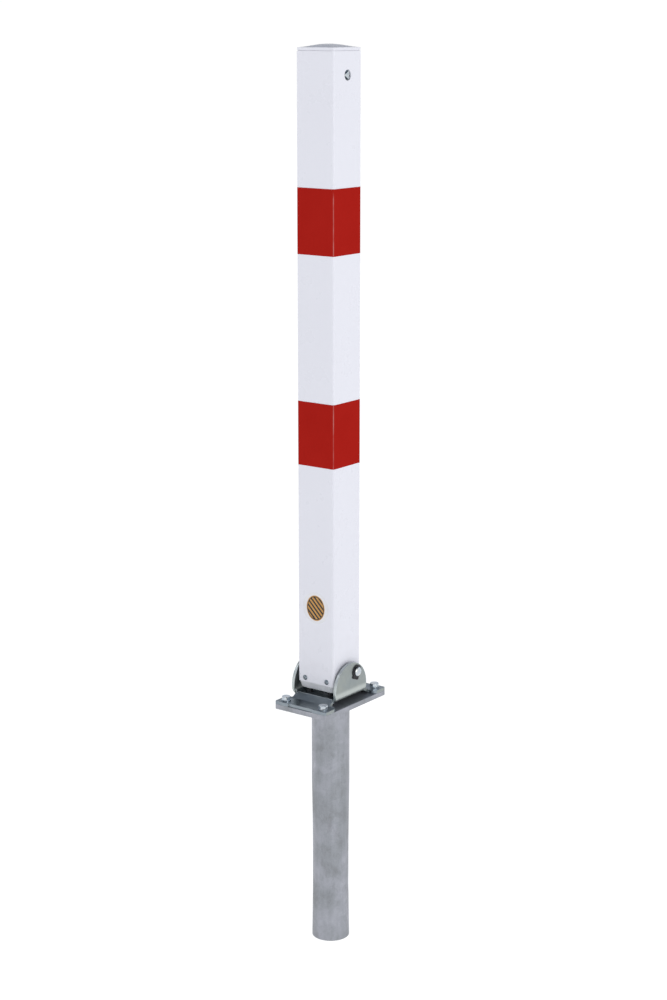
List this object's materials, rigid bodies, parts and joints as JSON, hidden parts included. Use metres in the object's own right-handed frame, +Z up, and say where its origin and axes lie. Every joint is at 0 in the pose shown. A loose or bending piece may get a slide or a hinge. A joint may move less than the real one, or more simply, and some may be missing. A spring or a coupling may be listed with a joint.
{
  "type": "fold-down bollard",
  "caption": "Square fold-down barrier post with red bands and a triangular-key lock, hinged on a folded bracket that is bolted to a ground plate with a tube to set in concrete.",
  "frame": {"origin": "centre of the ground plate's underside, on the ground tube's axis, at ground level", "axes": "+Z up, along the upright post; +X towards the side with the lock; -Y towards the front, and the post folds down towards +Y"},
  "size_m": [0.1, 0.16, 1.4252],
  "materials": {
    "galvanised_steel": "hot-dip galvanised, matt and mottled",
    "zinc_plated_steel": "zinc plated, satin",
    "bright_zinc_fasteners": "bright zinc, semi-gloss",
    "black_spring_steel": "blackened, satin",
    "white_powder_coat": "white powder coat, semi-gloss",
    "red_foil": "red film, semi-gloss",
    "label_foil": "printed clear film",
    "cast_aluminium": "machined casting, satin",
    "plain_steel": "drawn steel, satin",
    "guide_plastic": "moulded, matt"
  },
  "bodies": {
    "ground_anchor": {"ground_tube": "galvanised_steel", "tube_weld": "galvanised_steel", "ground_plate": "galvanised_steel", "hinge_bracket": "zinc_plated_steel", "bracket_washers": "bright_zinc_fasteners", "bracket_bolts": "bright_zinc_fasteners", "stop_screws": "black_spring_steel", "stop_nuts": "bright_zinc_fasteners", "pivot_pin": "bright_zinc_fasteners", "pin_retaining_rings": "black_spring_steel"},
    "post": {"post_tube": "white_powder_coat", "post_cap": "white_powder_coat", "red_band_upper": "red_foil", "red_band_lower": "red_foil", "label": "label_foil", "foot_block": "cast_aluminium", "foot_screws": "zinc_plated_steel", "lock_housing": "bright_zinc_fasteners", "rod_guide_upper": "guide_plastic", "rod_guide_middle": "guide_plastic"},
    "lock_spindle": {"lock_spindle": "bright_zinc_fasteners", "crank_arm": "zinc_plated_steel", "crank_pin": "bright_zinc_fasteners", "crank_washer": "bright_zinc_fasteners", "crank_screw": "bright_zinc_fasteners"},
    "lock_rod": {"lock_rod": "plain_steel", "rod_yoke": "zinc_plated_steel", "yoke_rivet": "bright_zinc_fasteners"}
  },
  "joints": [
    {"name": "post_fold", "type": "hinge", "parent": "ground_anchor", "child": "post", "pos_m": [0, 0.0104, 0.0564], "axis": [-1, 0, 0], "range_deg": [0, 90]},
    {"name": "lock_turn", "type": "hinge", "parent": "post", "child": "lock_spindle", "pos_m": [0, -0.004, 0.98], "axis": [1, 0, 0], "range_deg": [0, 90]},
    {"name": "rod_slide", "type": "slide", "parent": "post", "child": "lock_rod", "axis": [0, 0, -1], "range_m": [0, 0.01697]}
  ],
  "couplings": [
    {"joint": "lock_turn", "follows": "rod_slide", "rad_per_m": 92.509}
  ]
}
